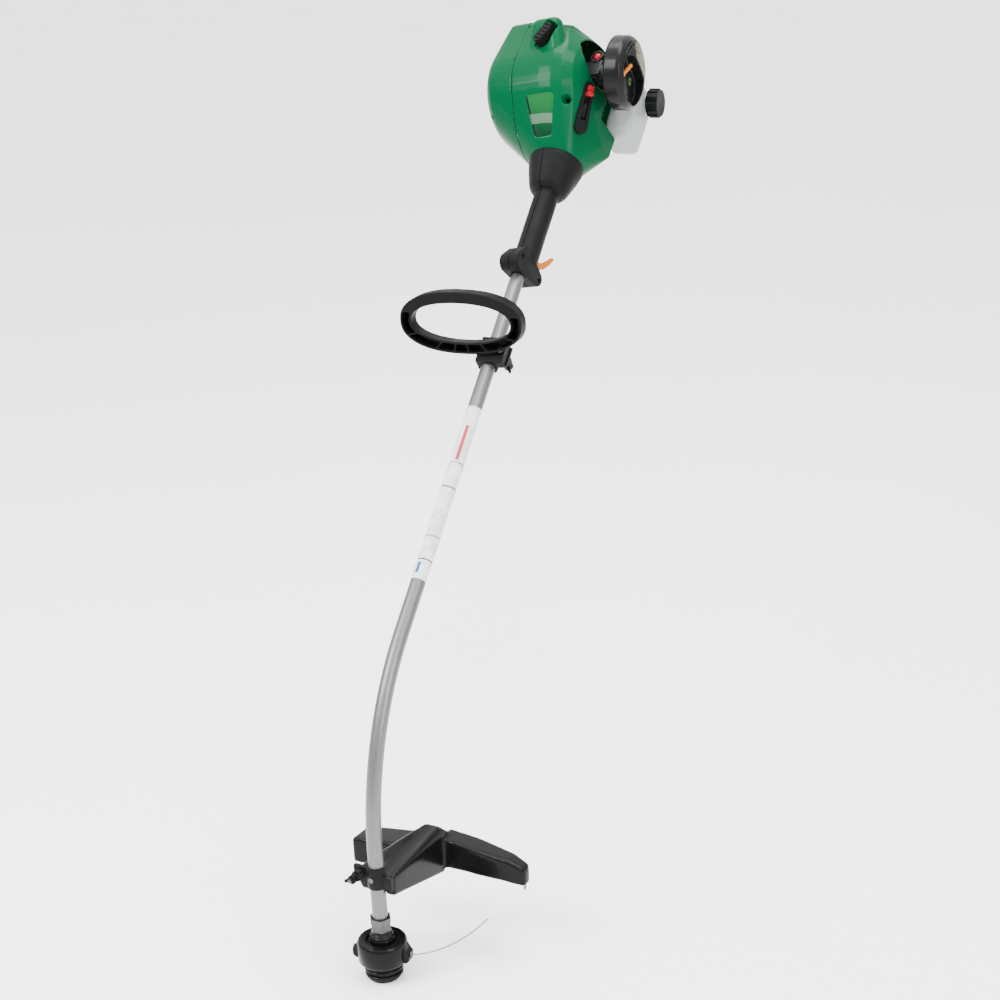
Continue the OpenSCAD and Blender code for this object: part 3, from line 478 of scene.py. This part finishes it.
# corners of the imported mesh this close, in metres, are one point
SAME_POINT = 1e-6


def moulded(name, voxel, passes):
    """A copy of a CAD node with its edges rounded as moulding rounds them."""
    mesh = nodes[name].data.copy()
    bm = bmesh.new()
    bm.from_mesh(mesh)
    bmesh.ops.remove_doubles(bm, verts=bm.verts, dist=SAME_POINT)
    bm.to_mesh(mesh)
    bm.free()
    ob = piece(name + "_moulding", mesh, body_of_node[name], finish_for(name))
    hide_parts(name)
    skin = ob.modifiers.new("skin", "REMESH")
    skin.mode = "VOXEL"
    skin.voxel_size = voxel * 1.0
    skin.use_smooth_shade = True
    soften = ob.modifiers.new("soften", "SMOOTH")
    soften.factor = 0.5
    soften.iterations = passes


def edged(name):
    """Small bevels on the sharp edges of a CAD node."""
    join = nodes[name].modifiers.new("join", "WELD")
    join.merge_threshold = SAME_POINT
    edge = nodes[name].modifiers.new("edge", "BEVEL")
    edge.width = 0.0005
    edge.segments = 2
    edge.limit_method = "ANGLE"
    edge.angle_limit = math.radians(35)
    edge.harden_normals = False


# the voxel size in metres and the number of smoothing passes
MOULDED = (
    ("engine_shroud", 0.0012, 5),
    ("side_cover", 0.0014, 5),
    ("debris_shield", 0.0013, 70),
    ("handle_left", 0.0011, 10),
    ("handle_right", 0.0011, 10),
    ("air_cover", 0.0009, 4),
    ("fuel_tank", 0.0014, 14),
    ("loop_handle", 0.001, 12),
    ("rear_cover", 0.0014, 4),
)
EDGED = ("head_housing", "bump_knob", "arbor_hub", "shield_clamp", "loop_clamp", "throttle_trigger", "fuel_cap",
         "starter_grip", "switch_bezel", "switch_lever", "carburetor", "loop_wing_nut", "shield_wing_nut",
         "choke_lever", "crankcase", "muffler", "line_limiter")

for name, voxel, passes in MOULDED:
    moulded(name, voxel, passes)
for name in EDGED:
    edged(name)

# ---------- the rope and the spring, copied from their CAD nodes ---


# the rope runs straight to the grip from its guide hole, and the last bit of it
# is held by the grip; here it is a copy of its CAD node
rope_mesh = nodes["starter_rope"].data.copy()
rope_mesh.materials.clear()
rope_mesh.materials.append(finish_for("starter_rope"))
drawn_rope = link(bpy.data.objects.new("drawn_rope", rope_mesh))
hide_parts("starter_rope")
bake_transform(drawn_rope)

# the spring, pressed by the knob against the head above it, as a copy that rides on the head
tap_spring = piece("tap_spring", nodes["spool_spring"].data.copy(), "head",
                   finish_for("spool_spring"))
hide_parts("spool_spring")
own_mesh(tap_spring)

# ---------- floor and light ----------

FLOOR_REACH = 40
floor_corners = [(x * FLOOR_REACH, y * FLOOR_REACH, 0) for x, y in ((-1, -1), (1, -1), (1, 1), (-1, 1))]
floor_mesh = bpy.data.meshes.new("floor")
floor_mesh.from_pydata(floor_corners, [], [(0, 1, 2, 3)])
floor = link(bpy.data.objects.new("floor", floor_mesh))
floor_net = Net("floor")
floor_net.color(floor_net.ramp(floor_net.noise(1.5, 2), (0.3, (0.93, 0.93, 0.93)), (0.7, (0.95, 0.95, 0.95))))
floor_net.put(Roughness=0.7)
floor_mesh.materials.append(floor_net.mat)

# the sky is dim at the horizon and bright overhead
SKY_STRENGTH = 3.4
SKY_STOPS = ((0.05, (0.30, 0.30, 0.30, 1)), (0.75, (1, 1, 1, 1)))
world = bpy.data.worlds.new("world")
bpy.context.scene.world = world
world.use_nodes = True
background = world.node_tree.nodes["Background"]
background.inputs["Strength"].default_value = SKY_STRENGTH
sky = world.node_tree.nodes.new("ShaderNodeTexCoord")
height = world.node_tree.nodes.new("ShaderNodeSeparateXYZ")
shade = world.node_tree.nodes.new("ShaderNodeValToRGB")
for stop, (position, colour) in zip(shade.color_ramp.elements, SKY_STOPS):
    stop.position = position
    stop.color = colour
world.node_tree.links.new(sky.outputs["Generated"], height.inputs[0])
world.node_tree.links.new(height.outputs["Z"], shade.inputs["Fac"])
world.node_tree.links.new(shade.outputs["Color"], background.inputs["Color"])


def softbox(name, spot, aim, size, power):
    """A rectangular light of that size in metres and power in watts, facing a point."""
    data = bpy.data.lights.new(name, "AREA")
    data.shape = "RECTANGLE"
    data.size, data.size_y = size
    data.energy = power
    ob = link(bpy.data.objects.new(name, data))
    ob.location = spot
    ob.rotation_euler = (Vector(aim) - Vector(spot)).to_track_quat("-Z", "Y").to_euler()


softbox("key", (-1.6, -1.6, 3.0), (0, 0.6, 0.7), (1.6, 1.6), 190)
softbox("fill", (2.6, -1.0, 2.0), (0, 0.6, 0.8), (1.4, 2.0), 80)
softbox("top", (0.2, 0.9, 3.4), (0, 0.6, 0.8), (2.4, 1.2), 120)
